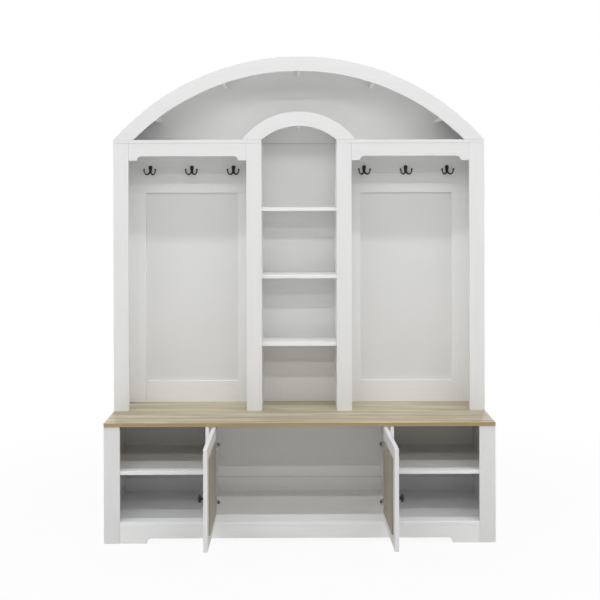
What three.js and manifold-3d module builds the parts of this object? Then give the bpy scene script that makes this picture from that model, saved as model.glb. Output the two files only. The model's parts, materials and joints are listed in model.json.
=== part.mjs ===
// Arched hall tree: an open bench base with a pair of inset doors, and a hutch with coat hooks,
// a shelf column and two segmental arches above it.
//
// Millimetres, +Z up, front towards -Y. X = 0 is the middle of the width and Z = 0 is the floor.
// Y = 0 is the middle of the depth that the object takes up as it stands at rest, doors open.
import * as THREE from "three";
import { mergeVertices } from "three/addons/utils/BufferGeometryUtils.js";
import Module from "manifold-3d";

const wasm = await Module();
wasm.setup();

// ---------------------------------------------------------------- driving dimensions

const WIDTH = 1600;
const HALF = WIDTH / 2;
const BOARD = 15; // thickness of every laminated board
const BACK_PANEL = 3; // thickness of the thin back sheets and the bent arch covers
const CLEAR = 0.3; // gap where a piece sits in a pocket cut for it
const JOINT = 0.5; // gap that shows where two boards meet flush at the front

// Depths, measured back from the front face of the base.
const CARCASS_BACK = 443;
const BACK_FACE = CARCASS_BACK + BACK_PANEL;
const HUTCH_FRONT = 235;
const HUTCH_INNER = HUTCH_FRONT + BOARD;
const RAIL_FRONT = CARCASS_BACK - BOARD;

// Heights.
const SEAT_TOP = 492;
const SEAT_UNDER = SEAT_TOP - BOARD;
const BOTTOM_BOARD_TOP = 87;
const PLINTH_TOP = BOTTOM_BOARD_TOP - BOARD;
const HEADER_TOP = 1661;
const HEADER_UNDER = HEADER_TOP - BOARD;

// Base.
const STILE = 65; // width of every front stile
const STILE_INNER = HALF - STILE;
const SIDE_INNER = HALF - BOARD;
const DIVIDER_OUTER = 385;
const DIVIDER_INNER = DIVIDER_OUTER - BOARD;
const CUBBY_SHELF_TOP = 294;
const CUBBY_SHELF_FRONT = 7;
const SEAT_OVERHANG = 4;
const BASE_BACK_SEAM = 150;
const SEAM_GAP = 1;
const PLINTH_NOTCH_HEIGHT = 21;
const PLINTH_NOTCH_MARGIN = 110; // from a stile to where the cut-out leaves the floor
const PLINTH_COVE = 18;

// Hutch.
const COLUMN_INNER = 162;
const COLUMN_OUTER = COLUMN_INNER + BOARD;
const COLUMN_STILE_OUTER = COLUMN_INNER + STILE;
const COLUMN_SHELVES = 3;
const VALANCE_UNDER = 1591;
const VALANCE_END_UNDER = 1572;
const VALANCE_END = 36; // length of the deeper block at each end
const HOOK_RAIL_UNDER = 1434.6;
const BAY_BOTTOM_RAIL_TOP = 588;
const BAY_FRAME_MEMBER = 99;
const RECESS_INNER = COLUMN_OUTER + BAY_FRAME_MEMBER;
const RECESS_OUTER = SIDE_INNER - 97;
const BACK_SEAM = 1656;

// Arches: one band width, flat feet on the headers. The outer curve of the large one runs through
// the ends of the headers, and the inner curve of the small one springs from the column.
const ARCH_BAND = 62;
const ARCH_TOP = 2020;
const ARCH_RISE = ARCH_TOP - HEADER_TOP;
const ARCH_OUTER = (HALF ** 2 + ARCH_RISE ** 2) / (2 * ARCH_RISE);
const ARCH_CENTRE = ARCH_TOP - ARCH_OUTER;
const SMALL_ARCH_RISE = 60;
const SMALL_ARCH_INNER = (COLUMN_INNER ** 2 + SMALL_ARCH_RISE ** 2) / (2 * SMALL_ARCH_RISE);
const SMALL_ARCH_CENTRE = HEADER_TOP + SMALL_ARCH_RISE - SMALL_ARCH_INNER;
const SMALL_ARCH_OUTER = SMALL_ARCH_INNER + ARCH_BAND;
const ARCH_STEPS = 30; // pairs of straight steps round each large curve
const SMALL_ARCH_STEPS = 15;

// Doors. Each is drawn closed and then turned open about its hinge line.
const DOOR_WIDTH = 365;
const DOOR_HEIGHT = 384;
const DOOR_THICKNESS = 16;
const DOOR_BOTTOM = 90;
const DOOR_SIDE_GAP = 2;
const DOOR_MEMBER = 57;
const DOOR_PANEL = 6;
const DOOR_PANEL_LAP = 10; // how far the panel laps over the frame, on its inner face
const PIVOT_FROM_EDGE = 4.35; // hinge line, inwards from the door's hinge edge
const PIVOT_FRONT = -5.15; // hinge line, in depth
const REST_ANGLE = { left: 90.4, right: 91.6 }; // how far each door stands open

// Door hardware.
const HINGE_FROM_END = 74;
const HINGE_CUP_RADIUS = 17.5;
const HINGE_CUP_DEPTH = 11;
const HINGE_CUP_FROM_EDGE = 21.5;
const KNOB_FROM_EDGE = 36;
const KNOB_RISE = 190; // above the door's bottom edge
const KNOB_RADIUS = 15.5;
const KNOB_REACH = 23;

// Hooks.
const HOOK_X = [294, 481, 667];
const HOOK_Z = 1536;

// The foremost place of an open door, and so where the middle of the depth is.
function doorFront(degrees) {
  const angle = THREE.MathUtils.degToRad(degrees);
  const reachAcross = DOOR_WIDTH - PIVOT_FROM_EDGE;
  const reachDeep = DOOR_THICKNESS - PIVOT_FRONT;
  return PIVOT_FRONT - reachAcross * Math.sin(angle) + reachDeep * Math.cos(angle);
}
const DOOR_FRONT = Math.min(...Object.values(REST_ANGLE).map(doorFront));
const MIDDLE = (BACK_FACE + DOOR_FRONT) / 2;

// ---------------------------------------------------------------- materials

const paint = (color, roughness, metalness = 0) => {
  return () => new THREE.MeshStandardMaterial({ color, roughness, metalness });
};
const white = paint(0xe9e8e6, 0.5);
const backWhite = paint(0xdededc, 0.6);
const oak = paint(0xb5a68c, 0.55);
const black = paint(0x151515, 0.45, 0.6);
const steel = paint(0x9c9c9e, 0.35, 1);

// ---------------------------------------------------------------- helpers

const tree = new THREE.Group();
tree.position.y = -MIDDLE;

function place(name, geometry, material, parent = tree) {
  const mesh = new THREE.Mesh(geometry, material());
  mesh.name = name;
  parent.add(mesh);
  return mesh;
}

function block(x0, x1, y0, y1, z0, z1) {
  const geometry = new THREE.BoxGeometry(x1 - x0, y1 - y0, z1 - z0);
  return geometry.translate((x0 + x1) / 2, (y0 + y1) / 2, (z0 + z1) / 2);
}

// The same block on the left (side -1) or on the right (side +1), given its two distances from X = 0.
function sideBlock(side, near, far, y0, y1, z0, z1) {
  const x = [side * near, side * far].sort((a, b) => a - b);
  return block(x[0], x[1], y0, y1, z0, z1);
}

function outline(points) {
  return new THREE.Shape(points.map(([x, y]) => new THREE.Vector2(x, y)));
}

// A flat outline in X and Z, made `depth` deep from `front` backwards.
function upright(shape, front, depth, curveSegments = 12) {
  const geometry = new THREE.ExtrudeGeometry(shape, { depth, bevelEnabled: false, curveSegments });
  return geometry.rotateX(Math.PI / 2).translate(0, front + depth, 0);
}

// A flat outline in X and Y, made `height` tall from `bottom` upwards.
function level(shape, bottom, height) {
  const geometry = new THREE.ExtrudeGeometry(shape, { depth: height, bevelEnabled: false });
  return geometry.translate(0, 0, bottom);
}

function solid(geometry) {
  const plain = geometry.clone();
  plain.deleteAttribute("normal");
  plain.deleteAttribute("uv");
  const merged = mergeVertices(plain, 1e-4);
  const vertProperties = new Float32Array(merged.attributes.position.array);
  const triVerts = new Uint32Array(merged.index.array);
  return new wasm.Manifold(new wasm.Mesh({ numProp: 3, vertProperties, triVerts }));
}

function surface(manifold) {
  const mesh = manifold.getMesh();
  const geometry = new THREE.BufferGeometry();
  geometry.setAttribute("position", new THREE.BufferAttribute(mesh.vertProperties, 3));
  geometry.setIndex(new THREE.BufferAttribute(mesh.triVerts, 1));
  return geometry;
}

function join(...geometries) {
  return surface(geometries.map(solid).reduce((whole, piece) => whole.add(piece)));
}

function cut(geometry, ...tools) {
  return surface(tools.map(solid).reduce((whole, tool) => whole.subtract(tool), solid(geometry)));
}

const sides = [["left", -1], ["right", 1]];

// ---------------------------------------------------------------- bench base

for (const [label, side] of sides) {
  place(`${label}_base_side_panel`,
    sideBlock(side, SIDE_INNER, HALF, BOARD, CARCASS_BACK, 0, SEAT_UNDER), white);
  place(`${label}_base_stile`, sideBlock(side, STILE_INNER, HALF, 0, BOARD, 0, SEAT_UNDER), white);
  place(`${label}_divider`,
    sideBlock(side, DIVIDER_INNER, DIVIDER_OUTER, 0, CARCASS_BACK, BOTTOM_BOARD_TOP, SEAT_UNDER),
    white);

  // The shelf is notched round the back of the stile.
  const shelf = outline([
    [side * DIVIDER_OUTER, CUBBY_SHELF_FRONT],
    [side * STILE_INNER, CUBBY_SHELF_FRONT],
    [side * STILE_INNER, BOARD],
    [side * SIDE_INNER, BOARD],
    [side * SIDE_INNER, CARCASS_BACK],
    [side * DIVIDER_OUTER, CARCASS_BACK],
  ]);
  place(`${label}_cubby_shelf`, level(shelf, CUBBY_SHELF_TOP - BOARD, BOARD), white);
}

const betweenStiles = STILE_INNER - JOINT;
place("bottom_board", level(outline([
  [-betweenStiles, 0],
  [betweenStiles, 0],
  [betweenStiles, BOARD],
  [SIDE_INNER, BOARD],
  [SIDE_INNER, CARCASS_BACK],
  [-SIDE_INNER, CARCASS_BACK],
  [-SIDE_INNER, BOARD],
  [-betweenStiles, BOARD],
]), PLINTH_TOP, BOARD), white);

// The plinth stands on two feet. Between them a cut-out ends in a quarter-round cove at each side.
function plinthShape() {
  const foot = STILE_INNER - PLINTH_NOTCH_MARGIN;
  const top = PLINTH_NOTCH_HEIGHT;
  const shape = new THREE.Shape();
  shape.moveTo(-betweenStiles, 0);
  shape.lineTo(-foot, 0);
  shape.lineTo(-foot, top - PLINTH_COVE);
  shape.absarc(-foot + PLINTH_COVE, top - PLINTH_COVE, PLINTH_COVE, Math.PI, Math.PI / 2, true);
  shape.absarc(foot - PLINTH_COVE, top - PLINTH_COVE, PLINTH_COVE, Math.PI / 2, 0, true);
  shape.lineTo(foot, 0);
  shape.lineTo(betweenStiles, 0);
  shape.lineTo(betweenStiles, PLINTH_TOP - JOINT);
  shape.lineTo(-betweenStiles, PLINTH_TOP - JOINT);
  return shape;
}
place("plinth", upright(plinthShape(), 0, BOARD), white);

place("base_back_lower",
  block(-HALF, HALF, CARCASS_BACK, BACK_FACE, PLINTH_TOP, BASE_BACK_SEAM), backWhite);
place("base_back_upper",
  block(-HALF, HALF, CARCASS_BACK, BACK_FACE, BASE_BACK_SEAM + SEAM_GAP, SEAT_UNDER), backWhite);
place("bench_top", block(-HALF, HALF, -SEAT_OVERHANG, BACK_FACE, SEAT_UNDER, SEAT_TOP), oak);

// ---------------------------------------------------------------- hutch

const FRONT_TOP = HEADER_UNDER - JOINT; // top of the stiles and valances, under the header's edge

// Under the header, the valance drops lower at both ends, and a cove joins the two levels.
function valanceShape(side) {
  const ends = [side * (COLUMN_STILE_OUTER + JOINT), side * (STILE_INNER - JOINT)];
  const [start, stop] = ends.sort((a, b) => a - b);
  const drop = VALANCE_UNDER - VALANCE_END_UNDER;
  const shape = new THREE.Shape();
  shape.moveTo(start, FRONT_TOP);
  shape.lineTo(start, VALANCE_END_UNDER);
  shape.lineTo(start + VALANCE_END, VALANCE_END_UNDER);
  shape.absarc(start + VALANCE_END + drop, VALANCE_END_UNDER, drop, Math.PI, Math.PI / 2, true);
  shape.absarc(stop - VALANCE_END - drop, VALANCE_END_UNDER, drop, Math.PI / 2, 0, true);
  shape.lineTo(stop, VALANCE_END_UNDER);
  shape.lineTo(stop, FRONT_TOP);
  return shape;
}

// The rails and the frame that line the back of a coat bay: the frame is a U of two stiles and a
// bottom rail, and the hook rail closes it at the top.
function bayFrameShape(side) {
  return outline([
    [side * COLUMN_OUTER, SEAT_TOP],
    [side * SIDE_INNER, SEAT_TOP],
    [side * SIDE_INNER, HOOK_RAIL_UNDER],
    [side * RECESS_OUTER, HOOK_RAIL_UNDER],
    [side * RECESS_OUTER, BAY_BOTTOM_RAIL_TOP],
    [side * RECESS_INNER, BAY_BOTTOM_RAIL_TOP],
    [side * RECESS_INNER, HOOK_RAIL_UNDER],
    [side * COLUMN_OUTER, HOOK_RAIL_UNDER],
  ]);
}

for (const [label, side] of sides) {
  place(`${label}_hutch_side_panel`,
    sideBlock(side, SIDE_INNER, HALF, HUTCH_INNER, CARCASS_BACK, SEAT_TOP, HEADER_UNDER), white);
  place(`${label}_column_upright`,
    sideBlock(side, COLUMN_INNER, COLUMN_OUTER, HUTCH_INNER, CARCASS_BACK, SEAT_TOP, HEADER_UNDER),
    white);
  place(`${label}_hutch_stile`,
    sideBlock(side, STILE_INNER, HALF, HUTCH_FRONT, HUTCH_INNER, SEAT_TOP, FRONT_TOP), white);
  place(`${label}_column_stile`,
    sideBlock(side, COLUMN_INNER, COLUMN_STILE_OUTER, HUTCH_FRONT, HUTCH_INNER, SEAT_TOP,
      FRONT_TOP), white);
  place(`${label}_header_board`,
    sideBlock(side, COLUMN_INNER, HALF, HUTCH_FRONT, CARCASS_BACK, HEADER_UNDER, HEADER_TOP),
    white);
  place(`${label}_valance`, upright(valanceShape(side), HUTCH_FRONT, BOARD), white);
  place(`${label}_hook_rail`,
    sideBlock(side, COLUMN_OUTER, SIDE_INNER, RAIL_FRONT, CARCASS_BACK, HOOK_RAIL_UNDER,
      HEADER_UNDER), white);
  place(`${label}_bay_frame`, upright(bayFrameShape(side), RAIL_FRONT, BOARD), white);
}

const shelfGap = (HEADER_UNDER - SEAT_TOP - COLUMN_SHELVES * BOARD) / (COLUMN_SHELVES + 1);
["lower", "middle", "upper"].forEach((label, index) => {
  const bottom = SEAT_TOP + shelfGap + index * (shelfGap + BOARD);
  place(`${label}_column_shelf`,
    block(-COLUMN_INNER, COLUMN_INNER, HUTCH_INNER, CARCASS_BACK, bottom, bottom + BOARD), white);
});

place("hutch_back_panel",
  block(-HALF, HALF, CARCASS_BACK, BACK_FACE, SEAT_TOP, BACK_SEAM), backWhite);

// ---------------------------------------------------------------- arches

// The angle at which a circle of that radius comes down to the tops of the headers.
function footAngle(centre, radius) {
  return Math.asin((HEADER_TOP + JOINT - centre) / radius);
}

// A band between two radii about one centre, cut off flat just above the headers.
function bandShape(centre, inner, outer) {
  const outerFoot = footAngle(centre, outer);
  const innerFoot = footAngle(centre, inner);
  const shape = new THREE.Shape();
  shape.absarc(0, centre, outer, outerFoot, Math.PI - outerFoot, false);
  shape.absarc(0, centre, inner, Math.PI - innerFoot, innerFoot, true);
  return shape;
}

// One half of such a band, up to half a joint away from the crown.
function halfBandShape(side, centre, inner, outer) {
  const turned = (angle) => (side > 0 ? angle : Math.PI - angle);
  const foot = (radius) => turned(footAngle(centre, radius));
  const crown = (radius) => turned(Math.acos(JOINT / 2 / radius));
  const shape = new THREE.Shape();
  shape.absarc(0, centre, outer, foot(outer), crown(outer), side < 0);
  shape.absarc(0, centre, inner, crown(inner), foot(inner), side > 0);
  return shape;
}

function archPiece(name, centre, inner, outer, steps, front, back) {
  place(name, upright(bandShape(centre, inner, outer), front, back - front, steps), white);
}
archPiece("arch_front", ARCH_CENTRE, ARCH_OUTER - ARCH_BAND, ARCH_OUTER, ARCH_STEPS,
  HUTCH_FRONT, HUTCH_INNER);
archPiece("small_arch_front", SMALL_ARCH_CENTRE, SMALL_ARCH_INNER, SMALL_ARCH_OUTER,
  SMALL_ARCH_STEPS, HUTCH_FRONT, HUTCH_INNER);

// Thin sheets bent over the outside of both arches, from the front boards to the back panel. The
// large one comes in two halves, which meet at the crown.
for (const [label, side] of sides) {
  const band = halfBandShape(side, ARCH_CENTRE, ARCH_OUTER - BACK_PANEL, ARCH_OUTER);
  place(`${label}_arch_cover`,
    upright(band, HUTCH_INNER, CARCASS_BACK - HUTCH_INNER, ARCH_STEPS / 2), white);
}
archPiece("small_arch_cover", SMALL_ARCH_CENTRE, SMALL_ARCH_OUTER - BACK_PANEL, SMALL_ARCH_OUTER,
  SMALL_ARCH_STEPS, HUTCH_INNER, CARCASS_BACK);

// The back panel of the arches: the large arch filled in, down to the seam below the header.
function archBackShape() {
  const foot = Math.asin((HEADER_TOP - ARCH_CENTRE) / ARCH_OUTER);
  const bottom = BACK_SEAM + SEAM_GAP;
  const shape = new THREE.Shape();
  shape.moveTo(-HALF, bottom);
  shape.lineTo(HALF, bottom);
  shape.absarc(0, ARCH_CENTRE, ARCH_OUTER, foot, Math.PI - foot, false);
  return shape;
}
place("arch_back_panel", upright(archBackShape(), CARCASS_BACK, BACK_PANEL, ARCH_STEPS),
  backWhite);

// ---------------------------------------------------------------- coat hooks

// One hook, drawn about its own centre with its back at Y = 0: an upright plate with rounded ends,
// an arm out of its lower half, and two prongs that curve out, forward and up to round tips.
function hookGeometry() {
  const plateHalf = 8;
  const plate = new THREE.Shape();
  plate.absarc(0, 13, plateHalf, 0, Math.PI, false);
  plate.absarc(0, -13, plateHalf, Math.PI, 2 * Math.PI, false);
  const parts = [upright(plate, -4, 4, 4)];

  const rod = new THREE.Shape();
  rod.absarc(0, 0, 3.4, 0, 2 * Math.PI, false);
  for (const side of [-1, 1]) {
    const path = new THREE.CatmullRomCurve3([
      new THREE.Vector3(0, -3.6, -6),
      new THREE.Vector3(side * 4, -10, -13),
      new THREE.Vector3(side * 11.6, -19, -19),
      new THREE.Vector3(side * 19.4, -25, -17),
      new THREE.Vector3(side * 24.2, -28, -8),
      new THREE.Vector3(side * 25.2, -29, 3),
    ]);
    parts.push(new THREE.ExtrudeGeometry(rod, { steps: 9, extrudePath: path, curveSegments: 3 }));
    const tip = new THREE.SphereGeometry(4, 8, 5);
    parts.push(tip.translate(side * 25.2, -29, 4));
  }
  return join(...parts);
}

for (const [label, side] of sides) {
  HOOK_X.forEach((x, index) => {
    const hook = place(`${label}_hook_${index + 1}`, hookGeometry(), black);
    hook.position.set(side * x, RAIL_FRONT, HOOK_Z);
  });
}

// ---------------------------------------------------------------- doors and hinges

const hingeHeights = [["lower", HINGE_FROM_END], ["upper", DOOR_HEIGHT - HINGE_FROM_END]];

// A round of the given radius standing along Y, from y0 to y1.
function roundAlongY(radius, y0, y1, segments) {
  const geometry = new THREE.CylinderGeometry(radius, radius, y1 - y0, segments);
  return geometry.translate(0, (y0 + y1) / 2, 0);
}

// The left door is drawn closed, with its hinge edge at X = 0, its outer face at Y = 0 and its
// bottom at Z = 0. The right door is its mirror image.
function doorFrame() {
  const bores = hingeHeights.map(([, height]) => {
    const bore = roundAlongY(HINGE_CUP_RADIUS + CLEAR,
      DOOR_THICKNESS - HINGE_CUP_DEPTH - CLEAR, DOOR_THICKNESS + 1, 20);
    return bore.translate(HINGE_CUP_FROM_EDGE, 0, height);
  });
  return cut(
    block(0, DOOR_WIDTH, 0, DOOR_THICKNESS, 0, DOOR_HEIGHT),
    block(DOOR_MEMBER, DOOR_WIDTH - DOOR_MEMBER, -1, DOOR_THICKNESS + 1,
      DOOR_MEMBER, DOOR_HEIGHT - DOOR_MEMBER),
    ...bores,
  );
}

// The panel is fixed to the inner face of the frame.
function doorPanel() {
  const inset = DOOR_MEMBER - DOOR_PANEL_LAP;
  const face = DOOR_THICKNESS + CLEAR;
  return block(inset, DOOR_WIDTH - inset, face, face + DOOR_PANEL, inset, DOOR_HEIGHT - inset);
}

// A mushroom knob turned about its own axis: a foot on the door, a neck and a domed disc.
function knob() {
  const profile = [
    [0, 0], [7.5, 0], [7.5, 1.5], [4.2, 4.5], [4, 9.5], [KNOB_RADIUS - 4, 11.5], [KNOB_RADIUS, 15],
    [KNOB_RADIUS, 18], [KNOB_RADIUS - 3, 21.4], [8, KNOB_REACH - 0.4], [0, KNOB_REACH],
  ].map(([radius, reach]) => new THREE.Vector2(radius, reach));
  const turned = new THREE.LatheGeometry(profile, 16).rotateX(Math.PI);
  return turned.translate(DOOR_WIDTH - KNOB_FROM_EDGE, -CLEAR, KNOB_RISE);
}

// The door half of a concealed hinge: a cup let into the door, its wing plate and a knuckle.
function hingeCup(height) {
  const face = DOOR_THICKNESS + CLEAR;
  const cup = roundAlongY(HINGE_CUP_RADIUS, DOOR_THICKNESS - HINGE_CUP_DEPTH, face + 0.5, 20);
  const wing = block(-9, 9, face, face + 1.6, -27, 27);
  const knuckle = block(-8, 8, face + 1, face + 13, -7, 7);
  return join(cup, wing, knuckle).translate(HINGE_CUP_FROM_EDGE, 0, height);
}

// The cabinet half: a plate screwed to the divider and the arm that is clipped onto it.
function hingeArm(height) {
  const plate = block(0, 2.5, 38, 84, -18, 18);
  const arm = block(2, 13, 34, 92, -6.5, 6.5);
  return join(plate, arm).translate(-DIVIDER_INNER, 0, DOOR_BOTTOM + height);
}

// Mirrors a left-hand piece for the right-hand side, and keeps its faces pointing out.
function mirrored(geometry) {
  const copy = geometry.clone().scale(-1, 1, 1);
  const order = copy.index.array;
  for (let i = 0; i < order.length; i += 3) {
    [order[i + 1], order[i + 2]] = [order[i + 2], order[i + 1]];
  }
  return copy;
}

for (const [label, side] of sides) {
  const handed = (geometry) => (side < 0 ? geometry : mirrored(geometry));

  // The hinge line stands at the door group's origin, and the group turns the door open.
  const door = new THREE.Group();
  door.position.set(side * (DIVIDER_INNER - DOOR_SIDE_GAP - PIVOT_FROM_EDGE), PIVOT_FRONT,
    DOOR_BOTTOM);
  door.rotation.z = side * THREE.MathUtils.degToRad(REST_ANGLE[label]);
  const leaf = new THREE.Group();
  leaf.position.set(side * PIVOT_FROM_EDGE, -PIVOT_FRONT, 0);
  door.add(leaf);
  tree.add(door);

  place(`${label}_door_frame`, handed(doorFrame()), white, leaf);
  place(`${label}_door_panel`, handed(doorPanel()), oak, leaf);
  place(`${label}_door_knob`, handed(knob()), black, leaf);
  for (const [position, height] of hingeHeights) {
    place(`${label}_${position}_hinge_cup`, handed(hingeCup(height)), steel, leaf);
    place(`${label}_${position}_hinge_arm`, handed(hingeArm(height)), steel);
  }
}

export default tree;
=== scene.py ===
import json
import math

import bmesh
import bpy
from mathutils import Matrix, Vector


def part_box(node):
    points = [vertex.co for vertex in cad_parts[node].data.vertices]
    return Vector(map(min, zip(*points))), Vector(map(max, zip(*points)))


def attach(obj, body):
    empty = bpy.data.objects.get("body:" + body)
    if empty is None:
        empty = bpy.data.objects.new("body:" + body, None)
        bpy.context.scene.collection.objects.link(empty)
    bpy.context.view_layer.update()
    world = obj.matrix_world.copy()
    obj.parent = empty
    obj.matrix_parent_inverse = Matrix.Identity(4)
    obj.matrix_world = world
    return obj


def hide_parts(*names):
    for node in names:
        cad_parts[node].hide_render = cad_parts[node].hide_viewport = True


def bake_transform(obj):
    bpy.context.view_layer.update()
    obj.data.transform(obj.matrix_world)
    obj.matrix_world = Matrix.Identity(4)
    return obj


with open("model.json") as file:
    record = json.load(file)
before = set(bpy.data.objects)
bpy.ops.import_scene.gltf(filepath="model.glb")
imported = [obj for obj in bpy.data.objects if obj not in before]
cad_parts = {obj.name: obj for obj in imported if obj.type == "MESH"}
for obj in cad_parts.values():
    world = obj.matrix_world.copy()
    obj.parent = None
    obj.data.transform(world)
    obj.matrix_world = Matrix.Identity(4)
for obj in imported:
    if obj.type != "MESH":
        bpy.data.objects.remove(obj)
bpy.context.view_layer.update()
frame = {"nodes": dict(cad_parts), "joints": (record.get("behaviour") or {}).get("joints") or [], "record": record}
nodes = frame["nodes"]
scene = bpy.context.scene
scene.view_settings.view_transform = "Standard"
MM = 0.001


# ---------------------------------------------------------------- places, read from the frame

hutch_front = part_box("left_hutch_stile")[0].y
rail_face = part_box("left_hook_rail")[0].y
back_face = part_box("hutch_back_panel")[1].y
hutch_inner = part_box("small_arch_cover")[0].y
carcass_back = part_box("small_arch_cover")[1].y
BOARD = 15 * MM
ARCH_BAND = 62 * MM
SIDES = (("left", -1), ("right", 1))


def arch_circle(node):
    """(centre height, outer radius) of an arch node, from its half width, foot and top."""
    low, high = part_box(node)
    half = high.x
    rise = high.z - low.z
    radius = (half * half + rise * rise) / (2 * rise)
    return high.z - radius, radius


# ---------------------------------------------------------------- materials


class Shader:
    """A principled material with a few helpers for wiring procedural detail into it."""

    def __init__(self, name, roughness, metallic=0.0):
        self.material = bpy.data.materials.new(name)
        self.material.use_nodes = True
        self.nodes = self.material.node_tree.nodes
        self.links = self.material.node_tree.links
        self.surface = self.nodes["Principled BSDF"]
        self.surface.inputs["Roughness"].default_value = roughness
        self.surface.inputs["Metallic"].default_value = metallic
        self.place = self.nodes.new("ShaderNodeTexCoord")

    def stretched(self, scale):
        """Object coordinates times scale, one factor for each axis."""
        mapping = self.nodes.new("ShaderNodeMapping")
        mapping.inputs["Scale"].default_value = scale
        self.links.new(self.place.outputs["Object"], mapping.inputs["Vector"])
        return mapping.outputs["Vector"]

    def noise(self, vector, scale, detail=4.0, roughness=0.55, distortion=0.0):
        node = self.nodes.new("ShaderNodeTexNoise")
        node.inputs["Scale"].default_value = scale
        node.inputs["Detail"].default_value = detail
        node.inputs["Roughness"].default_value = roughness
        node.inputs["Distortion"].default_value = distortion
        self.links.new(vector, node.inputs["Vector"])
        return node.outputs["Fac"]

    def spots(self, vector, scale):
        """Distance to the nearest of a scatter of points."""
        node = self.nodes.new("ShaderNodeTexVoronoi")
        node.inputs["Scale"].default_value = scale
        self.links.new(vector, node.inputs["Vector"])
        return node.outputs["Distance"]

    def span(self, value, low, high, to_low=0.0, to_high=1.0):
        """value from low..high to to_low..to_high, clamped."""
        node = self.nodes.new("ShaderNodeMapRange")
        node.inputs["From Min"].default_value = low
        node.inputs["From Max"].default_value = high
        node.inputs["To Min"].default_value = to_low
        node.inputs["To Max"].default_value = to_high
        self.links.new(value, node.inputs["Value"])
        return node.outputs["Result"]

    def mix(self, factor, first, second):
        """Two colours, each a tuple or a socket, mixed by a factor socket."""
        node = self.nodes.new("ShaderNodeMix")
        node.data_type = "RGBA"
        self.links.new(factor, node.inputs["Factor"])
        for socket, colour in ((node.inputs["A"], first), (node.inputs["B"], second)):
            if isinstance(colour, tuple):
                socket.default_value = (*colour, 1.0)
            else:
                self.links.new(colour, socket)
        return node.outputs["Result"]

    def multiply(self, first, second):
        node = self.nodes.new("ShaderNodeMath")
        node.operation = "MULTIPLY"
        self.links.new(first, node.inputs[0])
        self.links.new(second, node.inputs[1])
        return node.outputs["Value"]

    def normal_part(self, axis):
        """How squarely the surface faces along an axis, from 0 to 1, in object space."""
        split = self.nodes.new("ShaderNodeSeparateXYZ")
        self.links.new(self.place.outputs["Normal"], split.inputs["Vector"])
        size = self.nodes.new("ShaderNodeMath")
        size.operation = "ABSOLUTE"
        self.links.new(split.outputs[axis], size.inputs[0])
        return size.outputs["Value"]

    def colour(self, socket):
        self.links.new(socket, self.surface.inputs["Base Color"])

    def roughness(self, socket):
        self.links.new(socket, self.surface.inputs["Roughness"])

    def bump(self, height, strength, distance):
        node = self.nodes.new("ShaderNodeBump")
        node.inputs["Strength"].default_value = strength
        node.inputs["Distance"].default_value = distance
        self.links.new(height, node.inputs["Height"])
        self.links.new(node.outputs["Normal"], self.surface.inputs["Normal"])


def along(axis, length, across):
    """Scale factors that stretch a pattern along one axis."""
    return tuple(length if name == axis else across for name in "XYZ")


WHITE_PALE = (0.922, 0.922, 0.919)
WHITE_DARK = (0.885, 0.885, 0.881)
WHITE_WARM = (0.900, 0.895, 0.885)
SHEET_PALE = (0.870, 0.870, 0.867)
SHEET_DARK = (0.840, 0.840, 0.836)


def tinted(colour, shade, painted_cool=0.0):
    """A colour scaled by shade, a painted shade below 1 and painted light above 1, and made bluer to paint out
    warm bounced light.
    """
    return tuple(shade * (1 + painted_cool * i / 2) * part for i, part in enumerate(colour))


def white_laminate(axis, shade=1.0, painted_cool=0.0):
    """White foil with a faint pressed wood grain along one axis, and a few pale knots. A shade other than 1, or a
    cool tint, makes a copy of it with painted shade or painted light.
    """
    m = Shader(f"white_laminate_{axis.lower()}_{round(100 * shade)}_{round(100 * painted_cool)}", 0.46)
    dark, pale, warm = (tinted(colour, shade, painted_cool)
                        for colour in (WHITE_DARK, WHITE_PALE, WHITE_WARM))
    grain = m.noise(m.stretched(along(axis, 1.6, 34.0)), 2.2, 7.0, 0.62, 0.35)
    cloud = m.noise(m.stretched((1.0, 1.0, 1.0)), 2.4, 2.0)
    tone = m.mix(m.span(grain, 0.3, 0.7), dark, pale)
    shaded = m.mix(m.span(cloud, 0.35, 0.7, 0.0, 0.35), tone, warm)
    knots = m.spots(m.stretched(along(axis, 0.55, 1.3)), 4.6)
    m.colour(m.mix(m.span(knots, 0.012, 0.030, 0.32, 0.0), shaded, (0.46, 0.45, 0.43)))
    pores = m.noise(m.stretched(along(axis, 9.0, 260.0)), 1.5, 4.0, 0.6)
    m.roughness(m.span(pores, 0.3, 0.75, 0.40, 0.54))
    m.bump(pores, 0.16, 0.0005)
    return m.material


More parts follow.
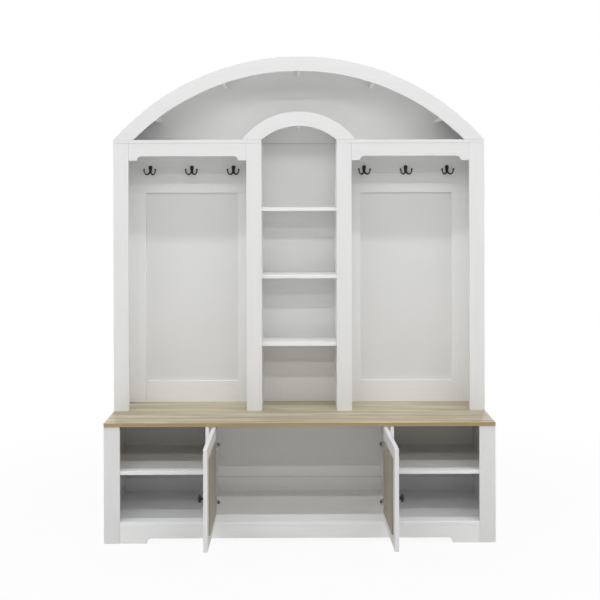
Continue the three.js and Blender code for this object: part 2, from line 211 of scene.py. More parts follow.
def oak_laminate(name, axis, pale, dark, edge=None):
    """Greyed oak print along one axis: broad bands, streaks, fine grain, pores and a few knots.
    edge is the colour of the band on the board's narrow sides."""
    m = Shader(name, 0.52)
    broad = m.noise(m.stretched(along(axis, 0.55, 7.0)), 1.7, 4.0, 0.55, 1.8)
    streak = m.noise(m.stretched(along(axis, 1.1, 24.0)), 1.5, 5.0, 0.62, 0.7)
    fine = m.noise(m.stretched(along(axis, 2.4, 105.0)), 1.6, 6.0, 0.68, 0.25)
    pores = m.noise(m.stretched(along(axis, 14.0, 520.0)), 1.3, 2.0, 0.5)
    middle = tuple((a + b) / 2 for a, b in zip(pale, dark))
    bands = m.mix(m.span(broad, 0.36, 0.66), middle, pale)
    streaks = m.mix(m.span(streak, 0.46, 0.68, 0.0, 0.9), bands, dark)
    grain = m.mix(m.span(fine, 0.40, 0.72, 0.0, 0.7), streaks, dark)
    knots = m.spots(m.stretched(along(axis, 0.9, 4.2)), 1.7)
    knotted = m.mix(m.span(knots, 0.012, 0.055, 0.6, 0.0), grain, tuple(0.7 * c for c in dark))
    flecked = m.mix(m.span(pores, 0.60, 0.72, 0.0, 0.30), knotted, tuple(0.6 * c for c in dark))
    if edge is None:
        m.colour(flecked)
    else:
        band = m.mix(m.span(fine, 0.35, 0.75), edge, tuple(0.82 * c for c in edge))
        m.colour(m.mix(m.span(m.normal_part("Z"), 0.45, 0.75), band, flecked))
    m.roughness(m.span(fine, 0.3, 0.75, 0.44, 0.60))
    m.bump(m.multiply(fine, pores), 0.30, 0.0006)
    return m.material


def back_sheet(shade, fibre_pale, fibre_dark):
    """Thin hardboard with white foil on its broad faces and bare fibre at its cut edges. A shade below 1 paints
    shade into the foil, above 1 paints light.
    """
    m = Shader(f"back_sheet_{round(100 * shade)}", 0.55)
    fibre = m.noise(m.stretched((1.0, 1.0, 1.0)), 190.0, 5.0, 0.7)
    cloud = m.noise(m.stretched((1.0, 1.0, 1.0)), 3.0, 3.0)
    foil = m.mix(m.span(cloud, 0.3, 0.7), tinted(SHEET_DARK, shade), tinted(SHEET_PALE, shade))
    core = m.mix(m.span(fibre, 0.3, 0.7), fibre_dark, fibre_pale)
    m.colour(m.mix(m.span(m.normal_part("Y"), 0.45, 0.65), core, foil))
    m.roughness(m.span(fibre, 0.3, 0.7, 0.48, 0.60))
    m.bump(fibre, 0.10, 0.0004)
    return m.material


def joint_tape():
    """Pale grey paper tape."""
    m = Shader("joint_tape", 0.8)
    fibre = m.noise(m.stretched((1.0, 1.0, 1.0)), 240.0, 4.0, 0.7)
    m.colour(m.mix(m.span(fibre, 0.3, 0.7), (0.50, 0.49, 0.47), (0.60, 0.59, 0.57)))
    m.bump(fibre, 0.15, 0.0003)
    return m.material


def black_metal():
    m = Shader("black_metal", 0.40)
    speck = m.noise(m.stretched((1.0, 1.0, 1.0)), 420.0, 4.0, 0.6)
    worn = m.noise(m.stretched((1.0, 1.0, 1.0)), 60.0, 3.0)
    m.colour(m.mix(m.span(worn, 0.35, 0.75), (0.010, 0.010, 0.011), (0.022, 0.022, 0.023)))
    m.roughness(m.span(worn, 0.3, 0.7, 0.33, 0.50))
    m.bump(speck, 0.25, 0.0003)
    return m.material


def steel():
    m = Shader("steel", 0.3, 1.0)
    brushed = m.noise(m.stretched((40.0, 40.0, 900.0)), 1.0, 3.0)
    cloud = m.noise(m.stretched((1.0, 1.0, 1.0)), 70.0, 3.0)
    m.colour(m.mix(m.span(cloud, 0.3, 0.7), (0.52, 0.52, 0.53), (0.66, 0.66, 0.67)))
    m.roughness(m.span(brushed, 0.3, 0.7, 0.24, 0.40))
    m.bump(brushed, 0.08, 0.0002)
    return m.material


WHITE = {axis: white_laminate(axis) for axis in "XYZ"}
# Lit and shaded copies of the white laminate. Painted shade greys the stiles, base stiles, door frames, valances,
# header boards and arch fronts; painted light whitens the bottom board, whose cool tint paints out warm bounced
# light.
STILE_PAINTED_SHADE = white_laminate("Z", 0.92)
BASE_PAINTED_SHADE = white_laminate("Z", 0.88)
TOP_PAINTED_SHADE = white_laminate("X", 0.905)
BOARD_PAINTED_LIGHT_AND_SHADE = {"base_stile": BASE_PAINTED_SHADE, "door_frame": BASE_PAINTED_SHADE, "hutch_stile": STILE_PAINTED_SHADE,
               "column_stile": STILE_PAINTED_SHADE, "valance": TOP_PAINTED_SHADE, "header_board": TOP_PAINTED_SHADE,
               "arch_front": TOP_PAINTED_SHADE, "bottom_board": white_laminate("X", 1.025, 0.02)}
SEAT_OAK = oak_laminate("oak_seat", "X", (0.735, 0.675, 0.512), (0.305, 0.252, 0.164),
                        (0.455, 0.316, 0.136))
DOOR_OAK = oak_laminate("oak_door", "Z", (0.437, 0.397, 0.317), (0.243, 0.206, 0.156))
# Painted light: the bay frames' laminate is made whiter, and its cool tint paints out warm bounced light.
FRAME_PAINTED_LIGHT = {axis: white_laminate(axis, 1.03, 0.01) for axis in "XZ"}
GREY_FIBRE = ((0.50, 0.48, 0.45), (0.42, 0.40, 0.37))
BROWN_FIBRE = ((0.110, 0.083, 0.058), (0.055, 0.040, 0.028))
# Painted shade on the hutch's back sheet, painted light on the arch's and the base's back sheets.
SHEETS_PAINTED_LIGHT_AND_SHADE = {"hutch_back_panel": back_sheet(0.965, *GREY_FIBRE),
          "arch_back_panel": back_sheet(1.08, *GREY_FIBRE),
          "base_back_lower": back_sheet(1.075, *BROWN_FIBRE)}
SHEETS_PAINTED_LIGHT_AND_SHADE["base_back_upper"] = SHEETS_PAINTED_LIGHT_AND_SHADE["base_back_lower"]
TAPE = joint_tape()
BLACK = black_metal()
STEEL = steel()


# ---------------------------------------------------------------- boards carried over from CAD

LEVEL_BOARDS = ("shelf", "header", "valance", "rail", "bottom_board", "plinth", "arch", "cover")
ARRIS = 0.9 * MM
THIN_ARRIS = 0.4 * MM
SHEET_ARRIS = 0.3 * MM


def soften(node, width, segments=2):
    """Rounds a board's arrises and gives it clean shading. Its own mesh keeps its shape."""
    mesh = nodes[node].data
    for name in ("custom_normal", "sharp_face", "sharp_edge"):
        attribute = mesh.attributes.get(name)
        if attribute:
            mesh.attributes.remove(attribute)
    weld = nodes[node].modifiers.new("weld", "WELD")
    weld.merge_threshold = 1e-5
    bevel = nodes[node].modifiers.new("arris", "BEVEL")
    bevel.width = width
    bevel.segments = segments
    bevel.limit_method = "ANGLE"
    bevel.angle_limit = math.radians(30)
    bevel.use_clamp_overlap = True
    shade = nodes[node].modifiers.new("shade", "WEIGHTED_NORMAL")
    shade.weight = 100


def node_material(name, slot):
    """The material of a CAD node; the grain of a white board runs along it."""
    if slot == "white_laminate":
        level = any(word in name for word in LEVEL_BOARDS)
        own = [made for board, made in BOARD_PAINTED_LIGHT_AND_SHADE.items() if name.endswith(board)]
        return own[0] if own else WHITE["X" if level else "Z"]
    if slot == "oak_laminate":
        return SEAT_OAK if name == "bench_top" else DOOR_OAK
    if slot == "back_sheet":
        return SHEETS_PAINTED_LIGHT_AND_SHADE[name]
    return BLACK if slot == "black_metal" else STEEL


def finish_boards():
    slots = {row["node"]: row["material_slot"] for row in frame["record"]["subparts"]}
    for name, obj in nodes.items():
        obj.data.materials.clear()
        obj.data.materials.append(node_material(name, slots[name]))
        if slots[name] in ("white_laminate", "oak_laminate"):
            thin = "cover" in name or "door_panel" in name
            soften(name, THIN_ARRIS if thin else ARRIS)
        elif slots[name] == "back_sheet":
            soften(name, SHEET_ARRIS, 1)


# ---------------------------------------------------------------- new pieces


def new_piece(name, mesh_maker, material, body):
    """A mesh object made by mesh_maker(bmesh), riding on a CAD body."""
    shape = bmesh.new()
    mesh_maker(shape)
    bmesh.ops.recalc_face_normals(shape, faces=shape.faces)
    mesh = bpy.data.meshes.new(name)
    shape.to_mesh(mesh)
    shape.free()
    obj = bpy.data.objects.new(name, mesh)
    scene.collection.objects.link(obj)
    mesh.materials.append(material)
    for face in mesh.polygons:
        face.use_smooth = True
    if body:
        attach(obj, body)
    return obj


def add_box(shape, low, high):
    made = bmesh.ops.create_cube(shape, size=1.0)["verts"]
    middle = (Vector(low) + Vector(high)) / 2
    size = Vector(high) - Vector(low)
    for vertex in made:
        vertex.co = middle + Vector(c * s for c, s in zip(vertex.co, size))
    return made


def add_turned(shape, profile, segments=32):
    """A closed turning about local -Y: profile is (radius, reach) from the axis and back to it."""
    rings = []
    for radius, reach in profile:
        if radius == 0:
            rings.append([shape.verts.new((0.0, -reach, 0.0))])
            continue
        steps = [2 * math.pi * i / segments for i in range(segments)]
        rings.append([
            shape.verts.new((radius * math.cos(a), -reach, radius * math.sin(a))) for a in steps
        ])
    for first, second in zip(rings, rings[1:]):
        for i in range(segments):
            j = (i + 1) % segments
            corners = [first[i % len(first)], first[j % len(first)],
                       second[j % len(second)], second[i % len(second)]]
            face = [v for k, v in enumerate(corners) if v not in corners[:k]]
            if len(face) > 2:
                shape.faces.new(face)
    return [v for ring in rings for v in ring]


def round_profile(points, radius, steps=4):
    """(radius, reach) points with each inner corner rounded by an arc-like curve."""
    out = [points[0]]
    for before, corner, after in zip(points, points[1:], points[2:]):
        b, c, a = Vector(before), Vector(corner), Vector(after)
        cut = min(radius, (b - c).length / 2, (a - c).length / 2)
        start = c + (b - c).normalized() * cut
        stop = c + (a - c).normalized() * cut
        for i in range(steps + 1):
            t = i / steps
            out.append(tuple(start * (1 - t) ** 2 + c * 2 * t * (1 - t) + stop * t * t))
    out.append(points[-1])
    return out


def add_tube(shape, path, radii, sides=14):
    """A tube along points with one radius for each, closed by round ends."""
    rings = []
    up = Vector((0, 0, 1))
    for i, point in enumerate(path):
        ahead = path[min(i + 1, len(path) - 1)]
        behind = path[max(i - 1, 0)]
        tangent = (ahead - behind).normalized()
        side = tangent.cross(up)
        if side.length < 1e-4:
            side = Vector((1, 0, 0))
        side.normalize()
        up = side.cross(tangent).normalized()
        rings.append((point, side, up, tangent, radii[i]))
    loops = []
    for end, sign in ((rings[0], -1), (rings[-1], 1)):
        point, side, top, tangent, radius = end
        caps = []
        for k in range(1, 4):
            a = k * math.pi / 8
            caps.append((point + tangent * sign * radius * math.sin(a), side, top, tangent,
                         radius * math.cos(a)))
        loops.append(caps)
    whole = list(reversed(loops[0])) + rings + loops[1]
    made = []
    for point, side, top, _, radius in whole:
        steps = [2 * math.pi * k / sides for k in range(sides)]
        made.append([
            shape.verts.new(point + side * radius * math.cos(a) + top * radius * math.sin(a))
            for a in steps
        ])
    for first, second in zip(made, made[1:]):
        for k in range(sides):
            j = (k + 1) % sides
            shape.faces.new((first[k], first[j], second[j], second[k]))
    shape.faces.new(list(reversed(made[0])))
    shape.faces.new(made[-1])


def curve_points(points, steps):
    """Points along a smooth curve through the given ones."""
    out = []
    ends = [points[0] * 2 - points[1], *points, points[-1] * 2 - points[-2]]
    for i in range(1, len(ends) - 2):
        a, b, c, d = ends[i - 1:i + 3]
        for k in range(steps):
            t = k / steps
            out.append(((b * 2) + (c - a) * t + (a * 2 - b * 5 + c * 4 - d) * t * t
                        + (b * 3 - a - c * 3 + d) * t ** 3) / 2)
    out.append(points[-1])
    return out


def add_screw(shape, place, radius, lift):
    """A cross-head screw. place turns it from facing -Y at the origin to where it sits."""
    segments = 16
    rings = []
    for share, height, recess in ((0.9, -1.0 * MM, 0), (1.0, 0.3 * lift, 0), (0.8, lift, 0),
                                  (0.52, lift, 0.5 * MM), (0.16, lift - 1.3 * MM, 0)):
        ring = []
        for i in range(segments):
            a = 2 * math.pi * i / segments
            deep = recess * 2 if i % 4 == 0 else 0
            ring.append(shape.verts.new((radius * share * math.cos(a), -(height - deep),
                                         radius * share * math.sin(a))))
        rings.append(ring)
    for first, second in zip(rings, rings[1:]):
        for i in range(segments):
            j = (i + 1) % segments
            shape.faces.new((first[i], first[j], second[j], second[i]))
    shape.faces.new(list(reversed(rings[0])))
    shape.faces.new(rings[-1])
    bmesh.ops.transform(shape, verts=[v for ring in rings for v in ring], matrix=place)


# Coat hooks.

HOOK_PATH = ((0, -3.0, -6), (3.4, -9, -12.2), (8, -15, -17.4), (13.4, -20, -19.4), (19.2, -25, -17),
             (23.9, -28, -8.6), (25.2, -29, 2.5))
HOOK_HEAD = (12, 9.0)  # height and radius of each end of the plate
HOOK_FOOT = (-9, 5.0)
HOOK_HEIGHT = 22.4 * MM  # of the plate's middle, over the lowest point of the prongs
PLATE_SIDES = 28
PRONG_ROOT = 4.2
PRONG_TAPER = 1.3
PRONG_KNOB = [3.1, 3.7, 4.1, 4.0]  # radii up to the rounded end
# Share of the outline and lift, from the foot to the top.
PLATE_DOME = ((1.0, 0.0), (1.0, 2.2), (0.93, 3.6), (0.72, 4.9), (0.40, 5.6))


def hook_body(shape):
    """A domed pear-shaped plate with a round head, and two prongs that leave its foot."""
    outline = []
    for i in range(PLATE_SIDES):
        a = 2 * math.pi * i / PLATE_SIDES
        height, radius = HOOK_HEAD if math.sin(a) > 0 else HOOK_FOOT
        outline.append((radius * math.cos(a), height + radius * math.sin(a)))
    rings = []
    for share, lift in PLATE_DOME:
        ring = []
        for x, z in outline:
            centre = HOOK_HEAD[0] if z > 0 else HOOK_FOOT[0]
            place = Vector((x * share, -lift, centre + (z - centre) * share))
            ring.append(shape.verts.new(place * MM))
        rings.append(ring)
    for first, second in zip(rings, rings[1:]):
        for i in range(len(outline)):
            j = (i + 1) % len(outline)
            shape.faces.new((first[i], first[j], second[j], second[i]))
    shape.faces.new(list(reversed(rings[0])))
    shape.faces.new(rings[-1])
    for side in (-1, 1):
        route = [Vector((side * x, y, z)) * MM for x, y, z in HOOK_PATH]
        path = curve_points(route, 7)
        count = len(path) - 1
        radii = [PRONG_ROOT - PRONG_TAPER * min(1.0, 1.6 * i / count) for i in range(count + 1)]
        radii[-len(PRONG_KNOB):] = PRONG_KNOB
        add_tube(shape, path, [radius * MM for radius in radii])


def hook_screws(shape):
    for z in (12, -1.5):
        add_screw(shape, Matrix.Translation(Vector((0, -5.0, z)) * MM), 3.4 * MM, 1.4 * MM)


def make_hooks():
    for label, _ in SIDES:
        for number in (1, 2, 3):
            node = f"{label}_hook_{number}"
            low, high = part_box(node)
            centre = Vector(((low.x + high.x) / 2, rail_face, low.z + HOOK_HEIGHT))
            body = new_piece(node + "_body", hook_body, BLACK, None)
            screws = new_piece(node + "_screws", hook_screws, BLACK, None)
            for obj in (body, screws):
                obj.location = centre
                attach(obj, "cabinet")
            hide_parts(node)


# Doors: knob and hinges. Their meshes are drawn on the closed left door, in millimetres from the
# hinge line: X along the door, Y backwards, Z from the piece's own middle height.


def door_matrix(label, side):
    """Turns closed-door places, X and Y from the hinge line, to the frame as it stands at rest."""
    joint = next(j for j in frame["joints"] if j["child"] == label + "_door")
    pivot = Vector(joint["pos_m"])
    angle = math.radians(joint["range_deg"][1]) * side
    return Matrix.Translation((pivot.x, pivot.y, 0)) @ Matrix.Rotation(angle, 4, "Z")


def mirror_for(side):
    return Matrix.Diagonal((-side, 1, 1, 1))


def handed_piece(name, maker, material, place, side):
    """A piece whose maker draws the left-hand one, mirrored for the right and then placed."""

    def make(shape):
        maker(shape)
        bmesh.ops.transform(shape, verts=shape.verts, matrix=place @ mirror_for(side))

    return new_piece(name, make, material, None)


def middle(node):
    low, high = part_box(node)
    return (low + high) / 2


FACE = 5.15  # outer face of the closed door, back from the hinge line
INNER_FACE = 21.15
CUP_X = 17.15
WING_HALF_WIDTH = 7.0
WING_ENDS = (15.5, 27.0)  # up from the cup's middle
WING_FACES = (0.1, 1.4)  # back from the door's inner face


def knob_shape(shape):
    """A round foot, a stem and a mushroom head."""
    profile = [(0, 0), (8.0, 0), (8.0, 1.6), (4.4, 4.2), (4.0, 9.2), (11.4, 11.4), (15.4, 14.4),
               (15.4, 18.2), (12.8, 21.0), (7.4, 22.4), (0, 22.9)]
    rounded = round_profile([(r * MM, d * MM) for r, d in profile], 1.6 * MM, 5)
    made = add_turned(shape, rounded, 48)
    bmesh.ops.translate(shape, verts=made, vec=(0, FACE * MM, 0))


def face_back(x, y, z):
    """Placement of a screw that faces backwards, +Y."""
    return Matrix.Translation(Vector((x, y, z)) * MM) @ Matrix.Rotation(math.pi, 4, "Z")


def face_right(x, y, z):
    """Placement of a screw that faces +X."""
    return Matrix.Translation(Vector((x, y, z)) * MM) @ Matrix.Rotation(math.pi / 2, 4, "Z")


def knob_screw(shape):
    add_screw(shape, face_back(0, INNER_FACE, 0), 4.0 * MM, 1.8 * MM)


def hinge_cup_shape(shape):
    """A hollow cup with a rolled rim, let into the door's inner face."""
    cup = [(0, 10.6), (15.6, 10.6), (17.2, 9.0), (17.2, 0.1), (18.8, 0.0), (19.0, -0.8),
           (18.2, -1.3), (15.8, -1.3), (15.2, -0.6), (14.6, 8.2), (13.0, 9.2), (0, 9.3)]
    made = add_turned(shape, [(r * MM, d * MM) for r, d in cup], 40)
    bmesh.ops.translate(shape, verts=made, vec=(CUP_X * MM, INNER_FACE * MM, 0))


def hinge_wing_shape(shape):
    """The wings above and below the cup, with a screw in each."""
    front, rear = (INNER_FACE + face for face in WING_FACES)
    near, far = WING_ENDS
    for low_z, high_z in ((-far, -near), (near, far)):
        made = add_box(shape, Vector((CUP_X - WING_HALF_WIDTH, front, low_z)) * MM,
                       Vector((CUP_X + WING_HALF_WIDTH, rear, high_z)) * MM)
        edges = [e for e in shape.edges if e.verts[0] in made and e.verts[1] in made
                 and abs(e.verts[0].co.y - e.verts[1].co.y) > 0.5 * MM
                 and abs(e.verts[0].co.z) > (far - 1) * MM]
        bmesh.ops.bevel(shape, geom=edges, offset=5 * MM, segments=5, affect="EDGES", profile=0.5)


def hinge_wing_screws(shape):
    for z in (-22, 22):
        add_screw(shape, face_back(CUP_X, INNER_FACE + WING_FACES[1], z), 3.6 * MM, 1.1 * MM)


# Centreline of the link with the door open, from the hinge line: out of the arm, round the door's
# edge and down into the cup. The damper sits on the upper half of its outer face.
LINK_PATH = ((0, 44), (6, 39), (18, 33), (28.5, 20), (31.5, 5), (29, -7), (22, -14.5), (17.5, -17))
LINK_STRAP = ((-6.2, -2.6), (-6.2, 0.6), (-5.6, 1.2), (5.6, 1.2), (6.2, 0.6), (6.2, -2.6),
              (5.2, -2.6), (5.2, 0), (-5.2, 0), (-5.2, -2.6))
LINK_DAMPER = ((0.4, 1.3), (0.4, 4.2), (1.4, 5.4), (5.2, 5.4), (6.2, 4.2), (6.2, 1.3))


def swept_link(section, route):
    """A maker for a strip along route, with section as (height, lift off the route) points."""

    def make(shape):
        path = curve_points([Vector((x, y, 0)) for x, y in route], 5)
        rings = []
        for i, point in enumerate(path):
            tangent = (path[min(i + 1, len(path) - 1)] - path[max(i - 1, 0)]).normalized()
            outward = Vector((-tangent.y, tangent.x, 0))
            rings.append([
                shape.verts.new((point + outward * lift + Vector((0, 0, height))) * MM)
                for height, lift in section
            ])
        for first, second in zip(rings, rings[1:]):
            for k in range(len(section)):
                j = (k + 1) % len(section)
                shape.faces.new((first[k], first[j], second[j], second[k]))
        shape.faces.new(list(reversed(rings[0])))
        shape.faces.new(rings[-1])

    return make


def bevelled_box(shape, low, high, radius, segments=3):
    made = add_box(shape, Vector(low) * MM, Vector(high) * MM)
    edges = list({e for v in made for e in v.link_edges})
    bmesh.ops.bevel(shape, geom=edges, offset=radius * MM, segments=segments, affect="EDGES",
                    profile=0.5)


def hinge_arm_shape(shape):
    """Cabinet half, from the divider's face (X = 0) and the plate's front edge (Y = 0)."""
    bevelled_box(shape, (0, 4, -18), (2.2, 50, 18), 0.8)
    bevelled_box(shape, (1.8, 0, -6.4), (10.5, 54, 6.4), 1.6)
    bevelled_box(shape, (9.8, 30, -4.6), (12.4, 57, 4.6), 1.0)


def hinge_arm_screws(shape):
    for z in (-13, 13):
        add_screw(shape, face_right(2.2, 27, z), 3.6 * MM, 1.1 * MM)
    for y in (12, 24):
        add_screw(shape, face_right(10.5, y, 0), 3.2 * MM, 1.0 * MM)


def make_hinge(label, side, position):
    door = label + "_door"
    cup_node = f"{label}_{position}_hinge_cup"
    arm_node = f"{label}_{position}_hinge_arm"
    height = middle(cup_node).z
    turned = door_matrix(label, side) @ Matrix.Translation((0, 0, height))
    base = f"{label}_{position}_hinge"

    cup = handed_piece(base + "_cup_shell", hinge_cup_shape, STEEL, turned, side)
    wing = handed_piece(base + "_wings", hinge_wing_shape, STEEL, turned, side)
    screws = handed_piece(base + "_wing_screws", hinge_wing_screws, STEEL, turned, side)
    for obj in (cup, wing, screws):
        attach(obj, door)
    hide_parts(cup_node)

    low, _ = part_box(arm_node)
    inner = side * abs(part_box(label + "_divider")[0 if side > 0 else 1].x)
    placed = Matrix.Translation((inner, low.y, height))
    arm = handed_piece(base + "_plate", hinge_arm_shape, STEEL, placed, side)
    arm_screws = handed_piece(base + "_plate_screws", hinge_arm_screws, STEEL, placed,
                              side)
    for obj in (arm, arm_screws):
        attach(obj, "cabinet")
    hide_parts(arm_node)

    at_line = Matrix.Translation(turned.translation)
    for part, section, route, material, slot in (
            ("_link", LINK_STRAP, LINK_PATH, STEEL, "steel"),
            ("_damper", LINK_DAMPER, LINK_PATH[2:-2], BLACK, "black_metal")):
        piece = handed_piece(base + part, swept_link(section, route), material, at_line, side)
        bevel_piece(piece, 0.3 * MM)
        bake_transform(piece)


def make_doors():
    for label, side in SIDES:
        knob_node = label + "_door_knob"
        matrix = door_matrix(label, side)
        along_door = (matrix.inverted() @ middle(knob_node)).x
        place = matrix @ Matrix.Translation((along_door, 0, middle(knob_node).z))
        knob = handed_piece(label + "_knob", knob_shape, BLACK, place, side)
        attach(knob, label + "_door")
        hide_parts(knob_node)
        screw = handed_piece(label + "_knob_screw", knob_screw, STEEL, place, side)
        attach(screw, label + "_door")
        for position in ("lower", "upper"):
            make_hinge(label, side, position)


# Rails under the arch covers.

RAIL_STEP = 18.75  # degrees
RAIL_ANGLES = tuple(math.radians(step * RAIL_STEP) for step in (-2, -1, 0, 1, 2))


def rail_shape(inner, outer):
    """One rail on edge, pointing up from the arch's centre, with its top cut to the cover."""

    def make(shape):
        half = BOARD / 2
        arc = [half - BOARD * i / 6 for i in range(7)]
        outline = [(-half, inner), (half, inner)]
        outline += [(x, math.sqrt(outer * outer - x * x)) for x in arc]
        front = [shape.verts.new((x, hutch_inner, z)) for x, z in outline]
        back = [shape.verts.new((x, carcass_back, z)) for x, z in outline]
        shape.faces.new(front)
        shape.faces.new(list(reversed(back)))
        for i in range(len(outline)):
            j = (i + 1) % len(outline)
            shape.faces.new((front[i], back[i], back[j], front[j]))

    return make


def bevel_piece(obj, width):
    bevel = obj.modifiers.new("arris", "BEVEL")
    bevel.width = width
    bevel.segments = 2
    bevel.limit_method = "ANGLE"
    bevel.angle_limit = math.radians(40)
    shade = obj.modifiers.new("shade", "WEIGHTED_NORMAL")
    shade.weight = 100


def make_arch_rails():
    for node, angles in (("arch", RAIL_ANGLES), ("small_arch", (0.0,))):
        centre, radius = arch_circle(node + "_front")
        under = radius - (back_face - carcass_back)
        for number, angle in enumerate(angles, 1):
            name = f"{node}_rail_{number}"
            rail = new_piece(name, rail_shape(radius - ARCH_BAND, under), WHITE["Y"], None)
            bevel_piece(rail, 0.8 * MM)
            rail.matrix_world = (Matrix.Translation((0, 0, centre))
                                 @ Matrix.Rotation(angle, 4, "Y"))
            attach(rail, "cabinet")


# Plain boards that stand for one CAD node between them, and strips behind the back sheets' joints.


def add_board(name, low, high, material, width=0.9 * MM):
    def make(shape):
        add_box(shape, low, high)

    board = new_piece(name, make, material, "cabinet")
    bevel_piece(board, width)
    return board


def make_bay_boards():
    """Each bay frame as two stiles and the rail between them, with fine joints."""
    joint = 0.4 * MM
    for label, _ in SIDES:
        node = label + "_bay_frame"
        corners = [vertex.co for vertex in nodes[node].data.vertices]
        x0, x1, x2, x3 = sorted({round(corner.x, 5) for corner in corners})
        low, rail_top, high = sorted({round(corner.z, 5) for corner in corners})
        first = add_board(node + "_first_stile", (x0, rail_face, low), (x1, carcass_back, high),
                          FRAME_PAINTED_LIGHT["Z"])
        add_board(node + "_second_stile", (x2, rail_face, low), (x3, carcass_back, high),
                  FRAME_PAINTED_LIGHT["Z"])
        add_board(node + "_rail", (x1 + joint, rail_face, low),
                  (x2 - joint, carcass_back, rail_top), FRAME_PAINTED_LIGHT["X"])
        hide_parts(node)


STRIP_WIDTH = 12 * MM
STRIP_THICKNESS = 1.2 * MM


def make_joint_strips():
    """Thin strips over the joints between the back sheets, on their rear faces."""
    half = STRIP_WIDTH / 2
    for name, lower, upper in (("base", "base_back_lower", "base_back_upper"),
                               ("hutch", "hutch_back_panel", "arch_back_panel")):
        joint = (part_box(lower)[1].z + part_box(upper)[0].z) / 2
        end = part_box(lower)[1].x - 10 * MM
        add_board(name + "_joint_strip", (-end, back_face, joint - half),
                  (end, back_face + STRIP_THICKNESS, joint + half), TAPE, SHEET_ARRIS)


# Nails that hold the back sheets.


NAIL_GAP = 0.16
EDGE_GAP = 0.022  # from the end of a row to the end of the board behind it


def nail_rows():
    """(start, stop) of each row of nails on the rear face, in X and Z."""
    end = middle("right_base_side_panel").x - EDGE_GAP
    bottom = middle("bottom_board").z
    rows = [((-end, bottom), (end, bottom))]
    base_low, base_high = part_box("right_divider")
    hutch_low, hutch_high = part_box("right_column_upright")
    base = (base_low.z + EDGE_GAP, base_high.z - EDGE_GAP)
    hutch = (hutch_low.z + EDGE_GAP, hutch_high.z - EDGE_GAP)
    for node, (low, high) in (("base_side_panel", base), ("divider", base),
                              ("hutch_side_panel", hutch), ("column_upright", hutch)):
        for label, _ in SIDES:
            x = middle(f"{label}_{node}").x
            rows.append(((x, low), (x, high)))
    for label, _ in SIDES:
        low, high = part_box(label + "_header_board")
        z = low.z + 1.5 * MM
        rows.append(((low.x + EDGE_GAP, z), (high.x - EDGE_GAP, z)))
    return rows


def nail_spots():
    """Places of all nails in X and Z: the rows, and two nails into the end of each arch rail."""
    spots = []
    for (x0, z0), (x1, z1) in nail_rows():
        count = max(2, round(math.hypot(x1 - x0, z1 - z0) / NAIL_GAP) + 1)
        shares = [i / (count - 1) for i in range(count)]
        spots += [(x0 + (x1 - x0) * share, z0 + (z1 - z0) * share) for share in shares]
    centre, radius = arch_circle("arch_front")
    for angle in RAIL_ANGLES:
        for depth in (0.25 * ARCH_BAND, 0.75 * ARCH_BAND):
            reach = radius - depth
            spots.append((reach * math.sin(angle), centre + reach * math.cos(angle)))
    return spots


def nails_shape(shape):
    profile = [(0, -0.3), (2.6, -0.3), (2.9, 0.2), (2.1, 0.75), (0, 0.95)]
    for x, z in nail_spots():
        made = add_turned(shape, [(r * MM, d * MM) for r, d in profile], 12)
        place = Matrix.Translation((x, back_face, z)) @ Matrix.Rotation(math.pi, 4, "Z")
        bmesh.ops.transform(shape, verts=made, matrix=place)


# ---------------------------------------------------------------- studio

ROW_HEIGHT = 3.35
ROWS = ((1.0, 90.0), (2.9, 122.0), (4.85, 136.0))  # in front of the hutch, watts
ROW_LENGTH = 12.0
ROW_DEPTH = 0.12
AMBIENT = 0.14
FILLS = (("front_fill", -5.5, 11.0), ("back_fill", 5.5, 110.0))  # place along Y, watts
FILL_SIZE = (5.0, 2.5)
FILL_HEIGHT = 1.6


def make_lights():
    for number, (ahead, power) in enumerate(ROWS, 1):
        light = bpy.data.lights.new(f"ceiling_row_{number}", "AREA")
        light.shape = "RECTANGLE"
        light.size = ROW_LENGTH
        light.size_y = ROW_DEPTH
        light.energy = power
        obj = bpy.data.objects.new(light.name, light)
        obj.location = (0, hutch_front - ahead, ROW_HEIGHT)
        scene.collection.objects.link(obj)
    for name, along_y, power in FILLS:
        light = bpy.data.lights.new(name, "AREA")
        light.shape = "RECTANGLE"
        light.size, light.size_y = FILL_SIZE
        light.energy = power
        obj = bpy.data.objects.new(name, light)
        obj.location = (0, along_y, FILL_HEIGHT)
        obj.rotation_euler = (math.copysign(math.pi / 2, -along_y), 0, 0)
        scene.collection.objects.link(obj)


def make_world():
    world = bpy.data.worlds.new("studio")
    world.use_nodes = True
    links = world.node_tree.links
    tree_nodes = world.node_tree.nodes
    tree_nodes.clear()
    seen = tree_nodes.new("ShaderNodeBackground")
    seen.inputs["Color"].default_value = (1, 1, 1, 1)
    soft = tree_nodes.new("ShaderNodeBackground")
    soft.inputs["Color"].default_value = (1, 1, 1, 1)
    soft.inputs["Strength"].default_value = AMBIENT
    ray = tree_nodes.new("ShaderNodeLightPath")
    mixed = tree_nodes.new("ShaderNodeMixShader")
    out = tree_nodes.new("ShaderNodeOutputWorld")
    links.new(ray.outputs["Is Camera Ray"], mixed.inputs[0])
    links.new(soft.outputs[0], mixed.inputs[1])
    links.new(seen.outputs[0], mixed.inputs[2])
    links.new(mixed.outputs[0], out.inputs["Surface"])
    scene.world = world


FLOOR_HALF = 30.0
FLOOR_GREY = (0.78, 0.78, 0.78)
FADE = (0.6, 2.6, 0.93, 1.0)  # distances from the middle, and the share of white at each


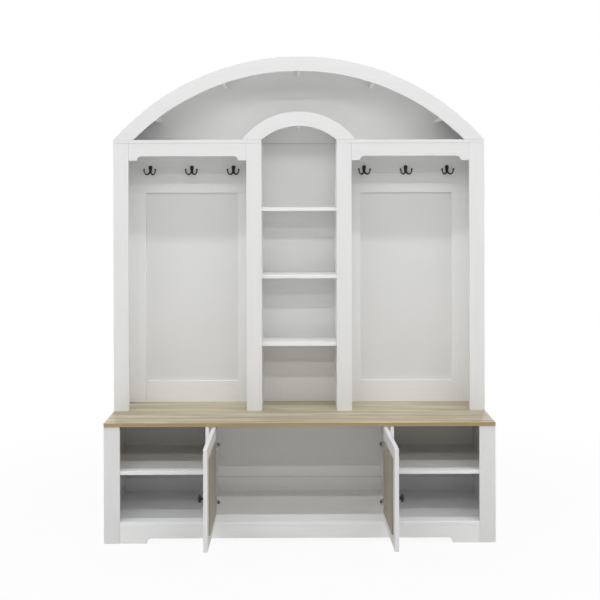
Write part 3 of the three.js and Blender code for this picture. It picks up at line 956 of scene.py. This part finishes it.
def make_floor():
    """A pale floor that fades into the white surround away from the object."""
    mesh = bpy.data.meshes.new("floor")
    far = FLOOR_HALF
    mesh.from_pydata([(-far, -far, 0), (far, -far, 0), (far, far, 0), (-far, far, 0)], [],
                     [(0, 1, 2, 3)])
    floor = bpy.data.objects.new("floor", mesh)
    scene.collection.objects.link(floor)
    m = Shader("floor", 0.8)
    m.surface.inputs["Base Color"].default_value = (*FLOOR_GREY, 1)
    m.surface.inputs["Specular IOR Level"].default_value = 0.0
    glow = m.nodes.new("ShaderNodeEmission")
    distance = m.nodes.new("ShaderNodeVectorMath")
    distance.operation = "LENGTH"
    m.links.new(m.place.outputs["Object"], distance.inputs[0])
    white = m.span(distance.outputs["Value"], *FADE)
    ray = m.nodes.new("ShaderNodeLightPath")
    share = m.multiply(white, ray.outputs["Is Camera Ray"])
    mixed = m.nodes.new("ShaderNodeMixShader")
    out = m.nodes["Material Output"]
    m.links.new(share, mixed.inputs[0])
    m.links.new(m.surface.outputs[0], mixed.inputs[1])
    m.links.new(glow.outputs[0], mixed.inputs[2])
    m.links.new(mixed.outputs[0], out.inputs["Surface"])
    mesh.materials.append(m.material)


EYE = Vector((-0.0106, -4.1662, 1.4034))  # from the camera fitted to the object's edges
YAW = math.radians(0.231)
PITCH = math.radians(0.111)
ROLL = math.radians(-0.146)
LENS = 60.67
SHIFT_X = -0.001
SHIFT_Y = -0.1644


def make_camera():
    data = bpy.data.cameras.new("camera")
    data.sensor_width = 36.0
    data.lens = LENS
    data.shift_x = SHIFT_X
    data.shift_y = SHIFT_Y
    data.clip_end = 200.0
    camera = bpy.data.objects.new("camera", data)
    scene.collection.objects.link(camera)
    turn = (Matrix.Rotation(-YAW, 4, "Z") @ Matrix.Rotation(math.pi / 2 - PITCH, 4, "X")
            @ Matrix.Rotation(ROLL, 4, "Z"))
    camera.matrix_world = Matrix.Translation(EYE) @ turn
    scene.camera = camera


finish_boards()
make_hooks()
make_doors()
make_arch_rails()
make_bay_boards()
make_joint_strips()
new_piece("back_nails", nails_shape, STEEL, "cabinet")
make_lights()
make_world()
make_floor()
make_camera()
